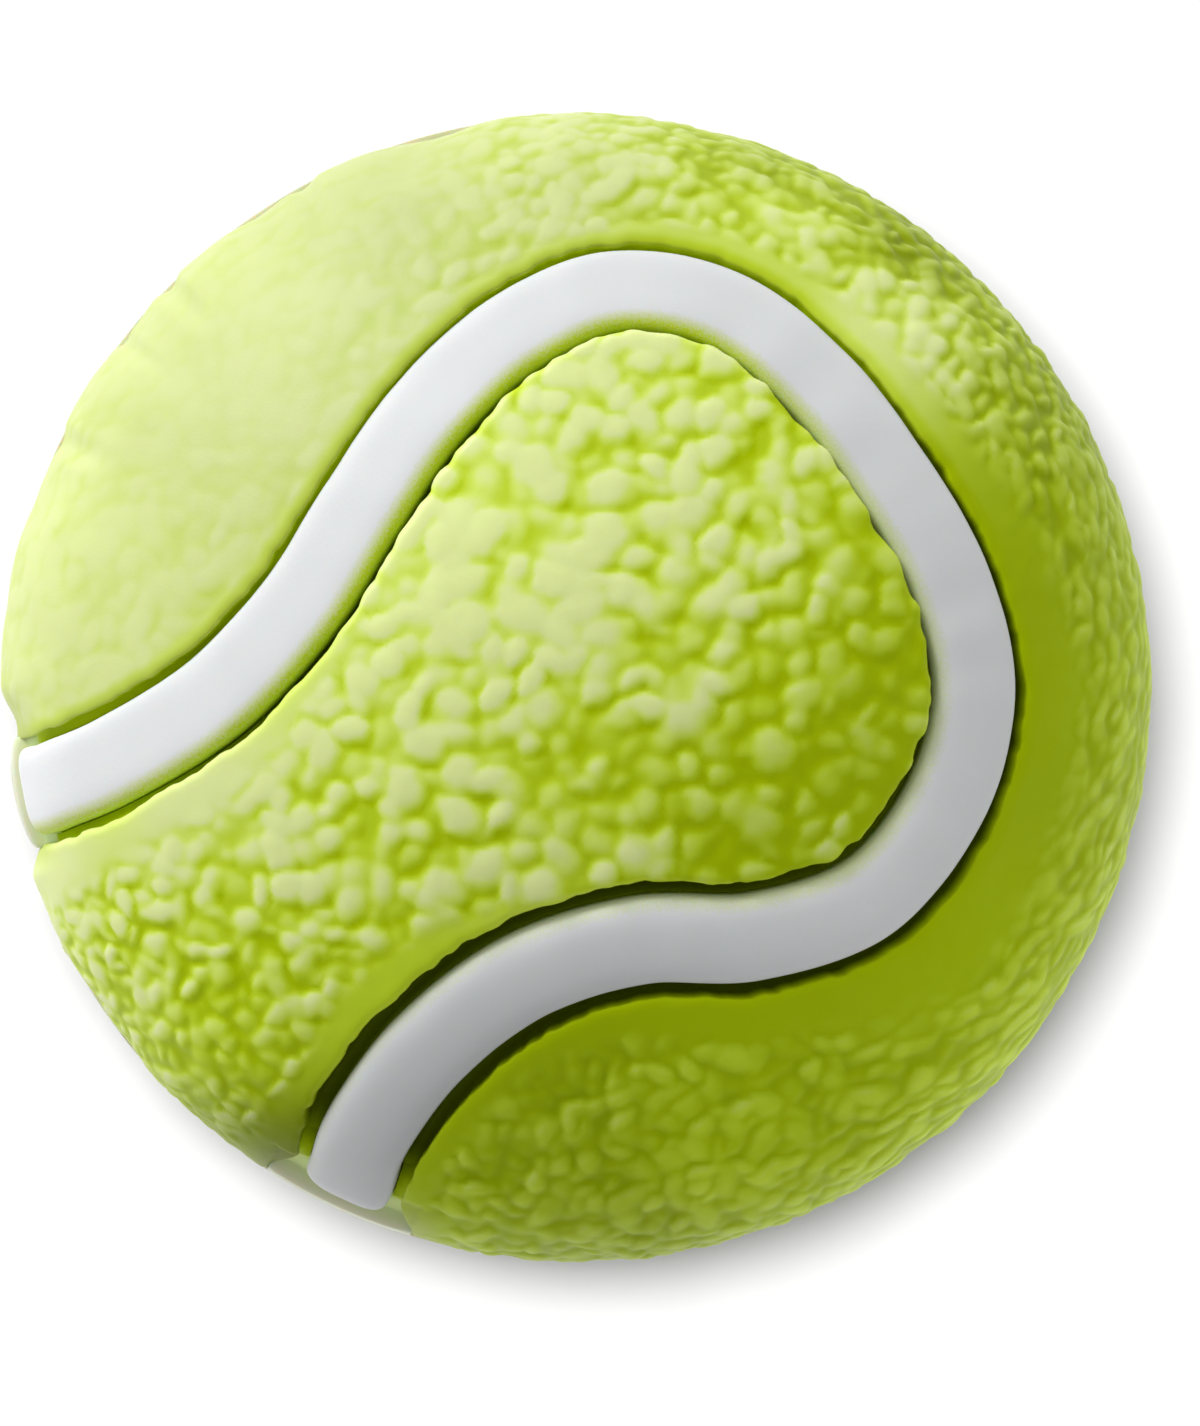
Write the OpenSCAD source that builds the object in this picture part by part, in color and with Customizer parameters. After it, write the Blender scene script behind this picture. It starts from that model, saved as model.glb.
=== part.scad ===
// A push-in charm for a ventilated shoe: the face is half a tennis ball, the back is flat.
// The ball's face is a moulded green cover with a white seam strip laid in its channel. A pale
// backing closes it, and a stem with a button goes through a hole in the shoe.
// Millimetres, +Z out of the ball's face. The origin is the middle of the flat back.

/* [Ball face] */
// Diameter of the ball's face across its rim
ball_d = 26; // [22:0.5:32]
// Height of the dome above the straight wall of the rim
dome_h = 7.2; // [6:0.2:9]
// Radius of the shoulder between the crown and the wall
shoulder_r = 4.2; // [3:0.2:5]
// Height of the straight wall at the rim of the green cover
wall_h = 0.8; // [0.6:0.1:1.6]

/* [Seam] */
// Width of the white strip
strip_w = 2; // [1.6:0.1:2.4]
// Width of the crevice on each side of the strip
crevice_w = 0.27; // [0.2:0.01:0.4]
// Depth of the crevices below the dome
crevice_depth = 1.3; // [1.1:0.05:1.6]
// Depth of the seat that the strip lies on, below the dome
seat_depth = 0.75; // [0.65:0.05:0.9]
// Depth of the top of the strip's crown below the dome
crown_depth = 0.08; // [0.02:0.02:0.16]
// Rise of the strip's round crown over its straight sides
crown_rise = 0.45; // [0.3:0.05:0.48]
// Length of the rounded tip at each end of the strip
strip_tip_l = 0.8; // [0.5:0.05:0.9]
// Width of the rolled edge of the panel outside the loop
roll_w = 0.9; // [0.5:0.1:1.2]
// Depth of the rolled edge of the panel outside the loop
roll_depth = 0.45; // [0.3:0.05:0.6]
// Width and depth of the rounded edge of the tongue inside the loop
tongue_edge = 0.3; // [0.2:0.05:0.5]

/* [Backing] */
// Thickness of the pale backing
backing_t = 1; // [0.8:0.1:1.6]
// How far the backing's edge is set in from the ball's rim
backing_inset = 0.12; // [0.06:0.02:0.3]
// Radius of the backing's lower edge
backing_edge_r = 0.3; // [0.1:0.05:0.5]
// Depth of the lips that close the channel's ends, below the dome
lip_depth = 0.1; // [0.04:0.02:0.2]
// Length over which a lip rises to its full height past the strip's tip
lip_rise_l = 0.25; // [0.1:0.05:0.4]
// Radius of the lips' long edges
lip_edge_r = 0.4; // [0.2:0.05:0.5]

/* [Stem] */
// Diameter of the flange that is held between cover and backing
flange_d = 16; // [13:0.5:17]
// Thickness of the flange
flange_t = 1; // [0.6:0.1:1.4]
// Diameter of the neck that stays in the shoe's hole
neck_d = 7; // [6:0.1:8]
// Length of the neck between the flat back and the button
neck_l = 4.6; // [4:0.1:6]
// Radius of the fillets at both ends of the neck
neck_fillet = 0.5; // [0.3:0.05:0.8]
// Diameter of the button
button_d = 12.5; // [11:0.1:14]
// Thickness of the button at its rim
button_t = 1.6; // [1.3:0.1:2.4]
// Radius of the button's rounded edges
button_edge_r = 0.4; // [0.2:0.05:0.5]
// Diameter of the shallow dish in the button's face
dish_d = 8.4; // [6:0.1:9]
// Depth of the dish in the button's face
dish_depth = 0.3; // [0.1:0.05:0.5]

/* [Fits] */
// Gap left between pieces that are moulded or bonded to each other
bond_gap = 0.03; // [0.02:0.01:0.06]

/* [Hidden] */
$fn = 96;

// How far a cutting tool runs past the surface that it cuts
overrun = 0.6;

// Turning points of the seam's middle on the unrolled dome: x to the right and y up, as shares
// of the way along the surface from the top of the crown to the foot of the shoulder. The seam
// comes in at the left rim, loops round the tongue and leaves at the lower left.
seam_shares = [
    [-0.841, -0.125], [-0.700, -0.104], [-0.530, -0.015], [-0.400, 0.115], [-0.310, 0.255],
    [-0.220, 0.390], [-0.100, 0.510], [0.055, 0.583], [0.220, 0.556], [0.355, 0.448],
    [0.458, 0.313], [0.545, 0.165], [0.587, 0.000], [0.545, -0.165], [0.430, -0.305],
    [0.260, -0.360], [0.090, -0.363], [-0.075, -0.417], [-0.215, -0.530], [-0.315, -0.670],
    [-0.357, -0.772]
];
// Places along a span between two turning points, as shares of it, so that rings lie evenly
ring_shares = [0, 0.25, 0.5, 0.75];
// Number of flats over the strip's crown, along its rounded tip, and round any other edge
crown_flats = 10;
tip_flats = 4;
edge_flats = 4;
// Number of steps from the end of the rib down to the back
end_steps = 8;

cover_green = [0.78, 0.87, 0.30];
seam_white = [0.93, 0.94, 0.94];
backing_pale = [0.86, 0.89, 0.78];
stem_pale = [0.88, 0.90, 0.84];

ball_r = ball_d / 2;
wall_top = backing_t + wall_h;
face_top = wall_top + dome_h;

// The dome's outline is a crown arc about a point on the axis, then a shoulder arc that is
// tangent both to the crown and to the upright wall.
shoulder_x = ball_r - shoulder_r;
crown_r = (pow(shoulder_x, 2) + pow(dome_h, 2) - pow(shoulder_r, 2)) / (2 * (dome_h - shoulder_r));
turn_a = atan2(shoulder_x, crown_r - dome_h);
crown_l = crown_r * turn_a * PI / 180;
dome_l = crown_l + shoulder_r * (90 - turn_a) * PI / 180;

half_strip = strip_w / 2;
half_channel = half_strip + crevice_w;
strip_side_depth = crown_depth + crown_rise;
strip_seat = seat_depth - bond_gap;
backing_r = ball_r - backing_inset;

function unit(v) = v / norm(v);

// Slope of the dome, its distance from the axis and its height, at a length s along the
// surface from the top of the crown. Past the shoulder the wall runs straight down.
function slope_at(s) =
    s < crown_l ? s / crown_r * 180 / PI
    : s < dome_l ? turn_a + (s - crown_l) / shoulder_r * 180 / PI
    : 90;
function radius_at(s) =
    s < crown_l ? crown_r * sin(slope_at(s))
    : s < dome_l ? shoulder_x + shoulder_r * sin(slope_at(s))
    : ball_r;
function height_at(s) =
    s < crown_l ? face_top - crown_r * (1 - cos(slope_at(s)))
    : s < dome_l ? wall_top + shoulder_r * cos(slope_at(s))
    : wall_top - (s - dome_l);

// A place on the unrolled dome, laid back on the real one, and the way straight out of it
function on_dome(u) = let (s = norm(u), way = u / s)
    [way.x * radius_at(s), way.y * radius_at(s), height_at(s)];
function out_of_dome(u) = let (s = norm(u), way = u / s, a = slope_at(s))
    [way.x * sin(a), way.y * sin(a), cos(a)];

// A smooth curve through four turning points, between the middle two
function through(p, q, r, s, t) =
    (2 * q + (r - p) * t + (2 * p - 5 * q + 4 * r - s) * t * t + (3 * q - p - 3 * r + s) * t * t * t) / 2;
last_turn = len(seam_shares) - 1;
function turn_at(i) =
    i < 0 ? 2 * seam_shares[0] - seam_shares[1]
    : i > last_turn ? 2 * seam_shares[last_turn] - seam_shares[last_turn - 1]
    : seam_shares[i];

// The seam's middle on the unrolled dome, along the rib that carries the strip
rib_path = dome_l * [
    for (i = [0 : last_turn - 1], t = ring_shares)
        through(turn_at(i - 1), turn_at(i), turn_at(i + 1), turn_at(i + 2), t),
    seam_shares[last_turn]
];
rib_ends = [rib_path[0], rib_path[len(rib_path) - 1]];

// From an end of the rib straight down over the rim: the places at the given lengths past it
function past(rib_end, lengths) = [for (l = lengths) unit(rib_end) * (norm(rib_end) + l)];
function to_back(rib_end) = dome_l + wall_top - norm(rib_end);
function end_lengths(rib_end) = [for (k = [1 : end_steps]) to_back(rib_end) * k / end_steps];
function reversed(list) = [for (i = [len(list) - 1 : -1 : 0]) list[i]];

// One ring of a sweep: a section of [across, out] points, set square to the path at place i.
// Across is positive to the right of the way that the path runs, which is the tongue's side, and
// a section goes round from the left, under the middle, to the right.
function ring(path, i, section) = let (
    n = len(path) - 1,
    ahead = on_dome(path[min(i + 1, n)]) - on_dome(path[max(i - 1, 0)]),
    out = out_of_dome(path[i]),
    side = unit(cross(ahead, out)),
    middle = on_dome(path[i])
) [for (p = section) middle + side * p.x + out * p.y];

// A closed solid along a path, through one section for each place on it. Its two ends are
// closed by triangles round a point at the given depth below the dome.
module sweep(path, sections, hub_depth) {
    last = len(path) - 1;
    n = len(sections[0]);
    hub = [[0, -hub_depth]];
    points = concat(
        [for (i = [0 : last], p = ring(path, i, sections[i])) p],
        ring(path, 0, hub),
        ring(path, last, hub)
    );
    sides = [
        for (i = [0 : last - 1], j = [0 : n - 1])
            let (a = i * n + j, b = i * n + (j + 1) % n)
            each [[a, b + n, a + n], [a, b, b + n]]
    ];
    first_cap = [for (j = [0 : n - 1]) [(last + 1) * n, (j + 1) % n, j]];
    last_cap = [for (j = [0 : n - 1]) [(last + 1) * n + 1, last * n + j, last * n + (j + 1) % n]];
    polyhedron(points, concat(sides, first_cap, last_cap), convexity = 6);
}

// The channel's section: a crevice on each side of a rib, between the rounded edges of two
// panels. Past the ends of the rib its top lies on the crevices' floor.
function channel_section(rib_depth) = concat(
    [[-half_channel - roll_w, overrun]],
    [for (k = [edge_flats : -1 : 0]) let (a = 90 * k / edge_flats)
        [-half_channel - roll_w * (1 - cos(a)), -roll_depth * (1 - sin(a))]],
    [
        [-half_channel, -crevice_depth], [-half_strip, -crevice_depth],
        [-half_strip, -rib_depth], [half_strip, -rib_depth],
        [half_strip, -crevice_depth], [half_channel, -crevice_depth]
    ],
    [for (k = [0 : edge_flats]) let (a = 90 * k / edge_flats)
        [half_channel + tongue_edge * (1 - cos(a)), -tongue_edge * (1 - sin(a))]],
    [[half_channel + tongue_edge, overrun]]
);

// The cut for the channel, which runs out over the rim at both ends and on below the back
module channel_cut() {
    ways_out = [for (e = rib_ends) past(e, concat(end_lengths(e), [to_back(e) + overrun]))];
    path = concat(reversed(ways_out[0]), rib_path, ways_out[1]);
    empty = [for (u = ways_out[0]) channel_section(crevice_depth)];
    sections = concat(empty, [for (u = rib_path) channel_section(seat_depth)], empty);
    sweep(path, sections, 0);
}

// The outline of the dome, turned about the axis
module dome_body() {
    crown_x = crown_r * sin(turn_a);
    rotate_extrude() {
        intersection() {
            translate([0, face_top - crown_r]) circle(crown_r);
            translate([0, wall_top]) square([crown_x, dome_h]);
        }
        intersection() {
            translate([shoulder_x, wall_top]) circle(shoulder_r);
            translate([crown_x, wall_top]) square([ball_r - crown_x, shoulder_r]);
        }
        translate([0, backing_t]) square([ball_r, wall_h]);
    }
}

// The green cover, with the seam's channel in its face and a pocket for the stem's flange
module ball_cover() color(cover_green) difference() {
    dome_body();
    channel_cut();
    translate([0, 0, backing_t - overrun])
        cylinder(d = flange_d + 2 * bond_gap, h = overrun + flange_t + bond_gap);
}

// The strip's section, with a flat seat and a round crown, drawn in by a share at its tips
function strip_section(share) = concat(
    [[-half_strip * share, -strip_seat], [half_strip * share, -strip_seat]],
    [for (k = [0 : crown_flats]) let (a = 180 * k / crown_flats) [
        half_strip * share * cos(a),
        -strip_seat + (strip_seat - strip_side_depth + crown_rise * sin(a)) * share
    ]]
);

// The white strip, which lies on the rib with its crown just below the dome
module seam_strip() color(seam_white) {
    tip_angles = [for (k = [1 : tip_flats]) 90 * k / (tip_flats + 1)];
    tips = [for (e = rib_ends) past(e, [for (a = tip_angles) strip_tip_l * sin(a)])];
    tip_sections = [for (a = tip_angles) strip_section(cos(a))];
    path = concat(reversed(tips[0]), rib_path, tips[1]);
    whole = [for (u = rib_path) strip_section(1)];
    sweep(path, concat(reversed(tip_sections), whole, tip_sections), strip_seat - bond_gap);
}

// A lip's section: as wide as the channel takes, with rounded edges at the given depth
function lip_section(top_depth) = let (half_w = half_channel - bond_gap, inner = half_w - lip_edge_r) concat(
    [[-half_w, bond_gap - crevice_depth], [half_w, bond_gap - crevice_depth]],
    [for (k = [0 : edge_flats]) let (a = 90 * k / edge_flats)
        [inner + lip_edge_r * cos(a), -top_depth - lip_edge_r * (1 - sin(a))]],
    [for (k = [edge_flats : -1 : 0]) let (a = 90 * k / edge_flats)
        [-inner - lip_edge_r * cos(a), -top_depth - lip_edge_r * (1 - sin(a))]]
);

// A lip that stands up in one end of the channel. It carries the strip's tip, and past the tip
// it rises to fill the channel down to the back.
module lip(rib_end) {
    steps = end_lengths(rib_end);
    tip_end = strip_tip_l + bond_gap;
    filled = [for (l = steps) if (l > tip_end + lip_rise_l) l];
    lengths = concat([steps[0], tip_end, tip_end + lip_rise_l], filled);
    depths = concat([seat_depth, seat_depth, lip_depth], [for (l = filled) lip_depth]);
    sweep(past(rib_end, lengths), [for (d = depths) lip_section(d)], crevice_depth - lip_edge_r);
}

// The pale backing: a flat disc with a lip at each end of the channel and a hole for the neck
module backing_disc() color(backing_pale) difference() {
    union() {
        rotate_extrude() {
            translate([0, backing_edge_r]) square([backing_r, backing_t - backing_edge_r]);
            square([backing_r - backing_edge_r, backing_t]);
            translate([backing_r - backing_edge_r, backing_edge_r]) circle(backing_edge_r);
        }
        for (e = rib_ends) lip(e);
    }
    translate([0, 0, -overrun]) cylinder(d = neck_d + 2 * bond_gap, h = backing_t + 2 * overrun);
}

// A fillet's section in the corner between the neck and a flat face, for a face that looks the
// way given: 1 up or -1 down
module neck_fillet_section(face_z, way) {
    translate([neck_d / 2, face_z]) difference() {
        translate([0, way > 0 ? 0 : -neck_fillet]) square(neck_fillet);
        translate([neck_fillet, way * neck_fillet]) circle(neck_fillet);
    }
}

// The stem, one moulded piece: a flange, a neck and a round button with a shallow dish
module stem_button() color(stem_pale) {
    button_r = button_d / 2;
    button_top = -neck_l;
    button_foot = button_top - button_t;
    dish_r = (pow(dish_d / 2, 2) + pow(dish_depth, 2)) / (2 * dish_depth);
    rotate_extrude() difference() {
        union() {
            translate([0, backing_t]) square([flange_d / 2, flange_t]);
            translate([0, button_top]) square([neck_d / 2, neck_l + backing_t]);
            neck_fillet_section(button_top, 1);
            translate([0, button_foot]) square([button_r - button_edge_r, button_t]);
            translate([0, button_foot + button_edge_r])
                square([button_r, button_t - 2 * button_edge_r]);
            for (z = [button_foot + button_edge_r, button_top - button_edge_r])
                translate([button_r - button_edge_r, z]) circle(button_edge_r);
        }
        translate([0, button_foot + dish_depth - dish_r]) circle(dish_r);
    }
}

ball_cover();
seam_strip();
backing_disc();
stem_button();
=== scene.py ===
"""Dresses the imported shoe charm: half a tennis ball with a pebbled cover, a white seam strip, a
pale backing with lips at the seam's ends, and a stem with a button.

Sizes are in millimetres, in the frame's own axes, and meshes are scaled to metres when made."""
import math

import bmesh
import bpy
import numpy as np
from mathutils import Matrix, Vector, geometry, kdtree, noise


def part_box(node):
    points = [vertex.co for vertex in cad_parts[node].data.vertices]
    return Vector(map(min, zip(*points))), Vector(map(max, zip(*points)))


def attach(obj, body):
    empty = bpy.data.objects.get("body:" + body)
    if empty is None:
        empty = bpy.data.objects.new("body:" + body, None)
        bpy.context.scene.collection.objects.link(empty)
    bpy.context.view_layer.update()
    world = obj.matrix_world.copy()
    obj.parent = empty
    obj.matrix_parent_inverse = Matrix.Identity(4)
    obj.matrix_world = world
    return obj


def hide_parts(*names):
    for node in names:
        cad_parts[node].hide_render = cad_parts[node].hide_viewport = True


MM = 0.001
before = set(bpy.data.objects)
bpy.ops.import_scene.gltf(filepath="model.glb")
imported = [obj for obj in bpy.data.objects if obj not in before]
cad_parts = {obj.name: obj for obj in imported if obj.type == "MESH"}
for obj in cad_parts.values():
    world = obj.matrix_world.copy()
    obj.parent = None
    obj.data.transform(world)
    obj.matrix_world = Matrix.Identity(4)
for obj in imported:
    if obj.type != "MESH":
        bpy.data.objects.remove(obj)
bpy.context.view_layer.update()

# The ball's face, as the frame gives it
cover_low, cover_high = (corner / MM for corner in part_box("ball_cover"))
BALL_R = (cover_high.x - cover_low.x) / 2
FACE_TOP = cover_high.z
BACKING_T = cover_low.z
FLOOR_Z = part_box("stem_button")[0].z / MM

# The dome's outline and the channel, with the CAD model's own values where it has them
WALL_H = 0.8
SHOULDER_R = 4.2
HALF_STRIP = 1.0
CREVICE_W = 0.27
CREVICE_DEPTH = 1.3
SEAT_DEPTH = 0.75
BOND_GAP = 0.03
RIB_CLEARANCE = 0.02
RIB_PAST = 2

# Where the crevices run out towards the seam's ends, and the rolled edges' width and depth
RUNOUT_SPAN = (-1.5, -0.1)
RUNOUT_DEPTH = 0.48
BOND_DEPTHS = (0.7, 0.9)
OUTER_ROLL = (0.26, 0.08)
TONGUE_ROLL = (0.2, 0.14)

# The strip's crown, with how square it is on the tongue's side and on the other, and its tips
CROWN_DEPTH = 0.08
CROWN_RISE = 0.38
SQUARENESSES = (0.6, 0.45)
STRIP_FLATS = 36
TIP_L = 1.25
TIP_CORNER_RS = [0.65, 0.9]
TIP_FALL = 0.4
TIP_STEPS = (6, 13)

# The backing, and the pocket and the hole for the stem
BACKING_R = BALL_R - 0.12
BACKING_EDGE_R = 0.3
ROUND_STEPS = 9
POCKET_R = 8.03
POCKET_TOP = BACKING_T + 1.03
POCKET_FLATS = 96
POCKET_TURNS = np.linspace(0, 2 * math.pi, POCKET_FLATS, endpoint=False)
NECK_HOLE_R = 3.53
RING_TURNS = np.linspace(0, 2 * math.pi, 360, endpoint=False)
SHARP_ANGLE = math.radians(35)

# The lips, with the depth and the fall of their tops for the left end and the lower end
LIP_SIDE_DEPTH = 0.5
LIP_RISE_L = 0.3
LIP_DEPTHS = [0.16, 0.12]
LIP_FALLS = [0.22, 0.03]
LIP_BITE = 0.02
LIP_IN_CREVICE = 0.9
LIP_START = 0.1
LIP_MIDDLE = 0.2
LIP_SHORT = 0.1
LIP_HUB_DEPTH = 1.0
LIP_STEPS = (5, 10, 6, 14)
LIP_GREEN_R = (11.9, 12.75)

# The flare of the mouths at the two ends and the lengths past the rib over which it comes in,
# and where the green turns clear beside them
MOUTH_FLARES = [0.0, 0.5]
FLARE_SPAN = (-0.2, 1.6)
MOUTH_RUN = (13.0, 14.8)
MOUTH_WIDTH = (0.1, 0.7)

WALL_TOP = BACKING_T + WALL_H
DOME_H = FACE_TOP - WALL_TOP
SHOULDER_X = BALL_R - SHOULDER_R
CROWN_R = (SHOULDER_X**2 + DOME_H**2 - SHOULDER_R**2) / (2 * (DOME_H - SHOULDER_R))
TURN_A = math.atan2(SHOULDER_X, CROWN_R - DOME_H)
CROWN_L = CROWN_R * TURN_A
DOME_L = CROWN_L + SHOULDER_R * (math.pi / 2 - TURN_A)
FOOT_L = DOME_L + WALL_H

# Turning points of the seam's middle on the unrolled dome, as shares of the way from the crown's
# top to the shoulder's foot
SEAM_SHARES = [
    [-0.834, -0.159], [-0.7, -0.111], [-0.53, -0.015], [-0.4, 0.115], [-0.31, 0.255],
    [-0.22, 0.39], [-0.1, 0.51], [0.055, 0.583], [0.22, 0.556], [0.355, 0.448],
    [0.458, 0.313], [0.545, 0.165], [0.587, 0], [0.545, -0.165], [0.43, -0.305],
    [0.26, -0.36], [0.09, -0.363], [-0.075, -0.417], [-0.215, -0.53], [-0.315, -0.67],
    [-0.357, -0.772],
]

# Width and depth of each crevice, as shares of CREVICE_W and CREVICE_DEPTH, against the share of
# the way along the seam
TONGUE_CREVICE = [
    [0, 0.9, 0.35], [0.04, 0.8, 0.35], [0.12, 0.8, 0.5], [0.2, 0.7, 0.55], [0.38, 0.6, 0.55],
    [0.44, 0.3, 0.5], [0.56, 0.35, 0.5], [0.61, 0.9, 0.9], [0.7, 1.3, 1], [0.84, 1.5, 1],
    [0.97, 1.5, 0.9], [1, 1, 0.5],
]
OUTER_CREVICE = [
    [0, 0.9, 0.35], [0.05, 0.8, 0.28], [0.11, 0.5, 0.35], [0.2, 0.35, 0.28], [0.235, 0.2, 0.25],
    [0.29, 0.2, 0.25], [0.31, 0.35, 0.28], [0.45, 0.4, 0.35], [0.6, 0.7, 0.8], [0.7, 1.2, 1],
    [0.97, 1.4, 0.9], [1, 1, 0.5],
]

# Fineness of the meshes, and how they are worked out
SEAM_STEP = 0.13
CURVE_PER_SPAN = 40
GRID_STEP = 0.105
EDGE_ROWS = [0.02, 0.05, 0.09, 0.14, 0.2, 0.28, 0.37, 0.47]
TINY = 1e-9
DROP_ROUNDS = 5
CHUNK = 4000
CDT_INSIDE = 1
CDT_MERGE = 1e-7

# The caps that run together into pebbles: how they are strewn, fall off, merge and differ
SEED = 7
DART_COUNT = 30000
DART_PAST = 0.5
DART_NEARNESS = 0.48
NEAR_COUNT = 11
CAP_BASE = 0.80
CAP_FALL = 2.8
CAP_SPREAD = 0.32
CAP_MERGING = 8
SIZE_SPREAD = (0.75, 1.2)
DRAWN_SPREAD = (0.2, 1.8)
STREAK_FROM = 1.7
STREAK_TURN = math.radians(70)
STREAK_SPREAD = 0.35

# The pebbles' heights as plateaus and as round tops, and the share of the round ones
PLATEAU_LEVELS = (0.10, 0.85)
ROUND_LEVELS = (0.10, 1.25)
ROUND_SHARE = 0.88

# Smooth noises: reach, size of their features, and layer of the noise
WARPS = ((0.12, 0.6, 3.1), (0.035, 0.22, 13.3))
WARP_LAYER_STEP = 5.6
EDGE_RAG = (0.05, 0.35, 8.2)
FINE_NOISE = (0.010, 0.35, 5.5)
BROAD_NOISE = (0.02, 3.0, 1.5)
RIM_NOISE = (0.05, 1.3, 9.7)
STRIP_NOISE = (0.03, 1.1, 4.4)
STRIP_NOISE_TURNS = 2.2
STRIP_NOISE_MEAN = 0.6

# Relief, always inward from the CAD surface: how deep the creases are, how far the panels' edges
# follow the pebbles, and where both and the rim's unevenness come in
RELIEF = 0.10
MARGIN_LEVEL = 0.45
MARGIN_SPAN = (0.6, 1.4)
NO_MARGIN = 0.05
SCALLOPS = (0.10, 0.08)
CALM_SPAN = (-1.0, -0.2)
RIM_SPAN = (11.5, 13.5)

# The green, with painted light and shade: how far a painted sheen follows the pebbles' height and
# the side that they turn to the light, how dark the painted shade in the creases is, and how deep
# the green is by painted shade at the panels' edges and in the channel
PAINTED_SHEEN_SPANS = (1.0, 0.65)
COLOUR_LEVEL = 0.50
COLOUR_STRENGTH = 1.3
LEAST_COLOUR = 0.1
SHEEN_LIT_SIDE = np.array([math.cos(math.radians(127)), math.sin(math.radians(127))])
SIDE_SHEEN_STEP = 0.16
SIDE_SHEEN_SPAN = 0.9
CREASE_SHADE_SPANS = (0.08, 0.22)
CREASE_SHADE_LEVEL = 0.65
CREASE_SHADE_POWER = 0.6
EDGE_PAINTED_SHADES = (0.1, 0.35)
EDGE_SHADE_SPAN = (0.05, 0.4)
SHADE_LIFT_SPAN = (-0.12, 0.04)
CHANNEL_SHADE_DEPTHS = (0.35, 0.75)

# How the pebbles vary over each panel: the place on the unrolled dome in shares, the strength of
# the relief, the size of the pebbles, how far they are drawn out, the width of the smooth margin
# beside the seam, how pale the green is by a painted sheen, and how bright it is by painted light
# and shade. The nearest rows count most
PATCH_SOFTNESS = 0.004
PATCH_POWER = 1.5
TONGUE_PATCHES = [
    [0.2, 0.1, 1, 1.15, 1.35, 0, 0.64, 1],
    [0.05, 0.42, 0.85, 1.15, 1.35, 0, 0.8, 0.93],
    [-0.2, 0.15, 0.6, 1.15, 1.35, 0, 1, 1],
    [-0.55, -0.14, 0.35, 1.05, 1.35, 0.9, 1.1, 1],
    [-0.4, -0.24, 0.9, 1.1, 1.35, 0.5, 0.74, 1],
    [0, -0.24, 1, 1.15, 1.35, 0.1, 0.6, 1],
    [0.24, -0.24, 0.9, 1.1, 1.35, 0, 0.08, 0.9],
    [0.45, 0.02, 0.85, 1.05, 1.35, 0, 0, 0.88],
    [-0.52, -0.5, 1.1, 0.92, 1.35, 0.2, 0.1, 0.98],
    [-0.7, -0.4, 0.9, 0.78, 1.6, 0.6, 0.58, 1],
    [-0.82, -0.27, 0.2, 0.8, 1.35, 1.4, 1.08, 1],
    [-0.28, -0.44, 0.9, 0.92, 1.35, 1, 0.34, 1],
    [-0.42, -0.74, 1, 0.72, 1.6, 1.1, 0, 0.33],
]
OUTER_PATCHES = [
    [-0.55, 0.5, 0.07, 1.05, 1.35, 0.2, 0.97, 0.77],
    [-0.8, 0.15, 0.18, 1, 1.35, 0.2, 0.97, 0.86],
    [-0.3, 0.8, 0.1, 1, 1.35, 0.2, 0.99, 0.69],
    [0, 0.82, 0.55, 0.9, 1.35, 0.3, 0.96, 0.73],
    [0.3, 0.84, 1.1, 0.75, 1.35, 0.6, 0.4, 0.6],
    [0.3, 0.7, 0.8, 0.95, 1.35, 0.6, 0.66, 0.86],
    [0.46, 0.55, 0.85, 1, 1.35, 0.9, 0.98, 1],
    [0.52, 0.7, 1.2, 0.68, 1.6, 0.9, 0.02, 0.5],
    [0.75, 0.45, 1.2, 0.72, 1.7, 1.1, 0.15, 0.68],
    [0.7, 0.2, 1, 0.78, 1.8, 1.3, 0.03, 0.78],
    [0.85, 0, 0.85, 0.78, 2, 1.6, 0.02, 0.88],
    [0.65, -0.5, 1, 0.9, 2, 1.9, 0.03, 0.98],
    [0.25, -0.65, 1.4, 0.95, 1.6, 1, 0, 0.94],
    [0.1, -0.92, 1.2, 0.9, 1.6, 1.3, 0, 0.66],
    [-0.12, -0.68, 1.4, 0.88, 1.35, 0.5, 0.04, 0.78],
]

# Flatter stretches and nicks of the rim, and the notches beside the left lip: direction, half
# width, both in degrees, and depth. Each kind comes in between two lengths from the crown
RIM_FLATS = [[105, 9, 0.2], [124, 7, 0.12], [141, 7, 0.1], [158, 8, 0.08], [215, 8, 0.08]]
RIM_NICKS = [[118.6, 2.2, 0.12], [135.4, 2, 0.14], [142.6, 1.6, 0.1], [154.4, 2.2, 0.1]]
NOTCHES = [[184, 4.5, 0.32], [196, 3.5, 0.32]]
RIM_BENDS = ((RIM_FLATS, 10.5, 14.5), (RIM_NICKS, 12.0, 14.0), (NOTCHES, 13.0, 15.2))

# The strip's colour: the share of the way along it, how far the green tints its flank beside the
# tongue, how bright its white is by painted light and shade, and how much brighter it is on the
# tongue's side by a painted highlight
TINT_SPAN = (0.4, 0.97)
STRIP_TINTING = [
    [0, 0.9, 1.13, 0], [0.2, 1, 1.04, 0], [0.4, 1, 0.94, 0], [0.5, 0.7, 0.98, 0],
    [0.6, 0.5, 1.06, 0.02], [0.7, 0.6, 1.19, 0.12], [0.8, 0.5, 1.04, 0.18],
    [0.92, 0.35, 0.89, 0.22], [1, 0.3, 0.86, 0.12],
]

# The photograph's frame, in its own pixels, and the camera
PHOTO_SIZE = (1200, 1426)
BALL_CENTRE_PX = (576.5, 688)
OUTLINE_RADIUS_PX = 576
OUTLINE_RADIUS = 12.94
CAMERA_DISTANCE = 400
CLIP_START = 10
SENSOR_WIDTH = 36

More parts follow.
